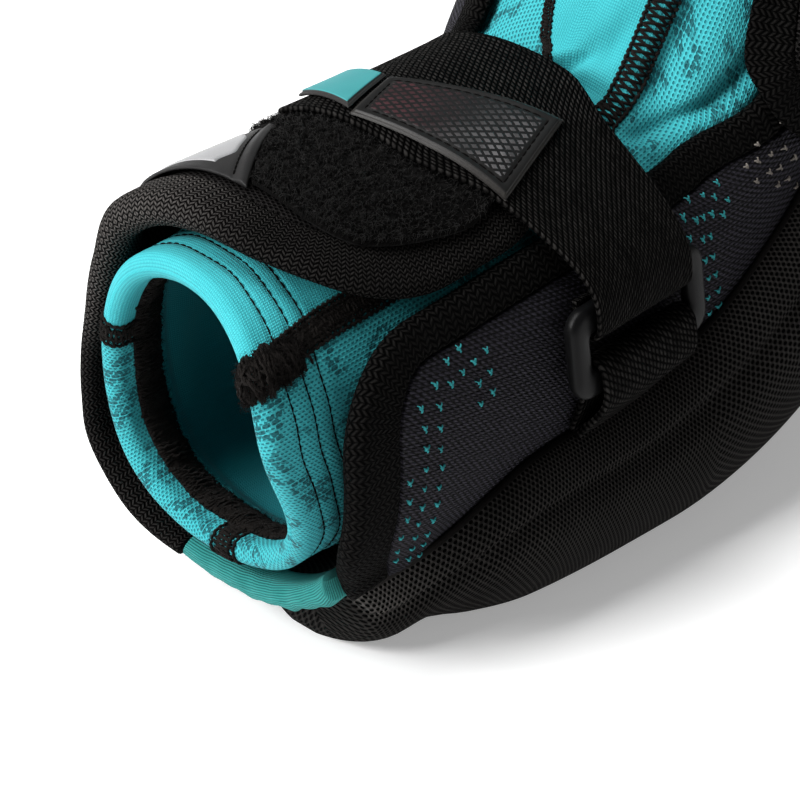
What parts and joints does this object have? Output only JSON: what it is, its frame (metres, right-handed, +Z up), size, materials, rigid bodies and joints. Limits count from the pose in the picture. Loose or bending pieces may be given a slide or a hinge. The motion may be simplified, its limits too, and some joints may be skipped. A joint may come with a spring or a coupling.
{
  "type": "hockey elbow pad",
  "caption": "Soft elbow pad with a stretch sleeve, padded side panels, a mesh elbow cap, a forearm flap and a webbing strap through a ring.",
  "frame": {"origin": "on the floor under the middle of the pad's outline box", "axes": "+X up the arm from the forearm cuff, +Y towards the flap's root side, +Z up from the elbow cap"},
  "size_m": [0.299, 0.1452, 0.2011],
  "materials": {
    "sleeve_knit": "teal stretch knit",
    "rib_lining": "mint rib knit",
    "cap_mesh": "black small-hole mesh",
    "panel_knit": "charcoal knit with teal flecks",
    "binding_tape": "herringbone tape",
    "flap_mesh": "black mesh",
    "loop_pile": "fuzzy loop pile",
    "badge_rubber": "grey rubber with a silver inlay",
    "strap_webbing": "elastic webbing",
    "patch_rubber": "rubber with a lozenge lattice",
    "tab_rubber": "matt teal",
    "ring_plastic": "satin black"
  },
  "bodies": {
    "root": {"sleeve": "sleeve_knit", "front_lining": "rib_lining", "elbow_cap": "cap_mesh", "right_panel": "panel_knit", "right_binding": "binding_tape", "left_panel": "panel_knit", "left_binding": "binding_tape", "right_wing": "flap_mesh", "wing_binding": "binding_tape", "forearm_flap": "flap_mesh", "forearm_binding": "binding_tape", "loop_panel": "loop_pile", "flap_badge": "badge_rubber", "strap": "strap_webbing", "strap_patch": "patch_rubber", "pull_tab": "tab_rubber", "ring": "ring_plastic", "anchor_webbing": "strap_webbing"}
  },
  "joints": []
}
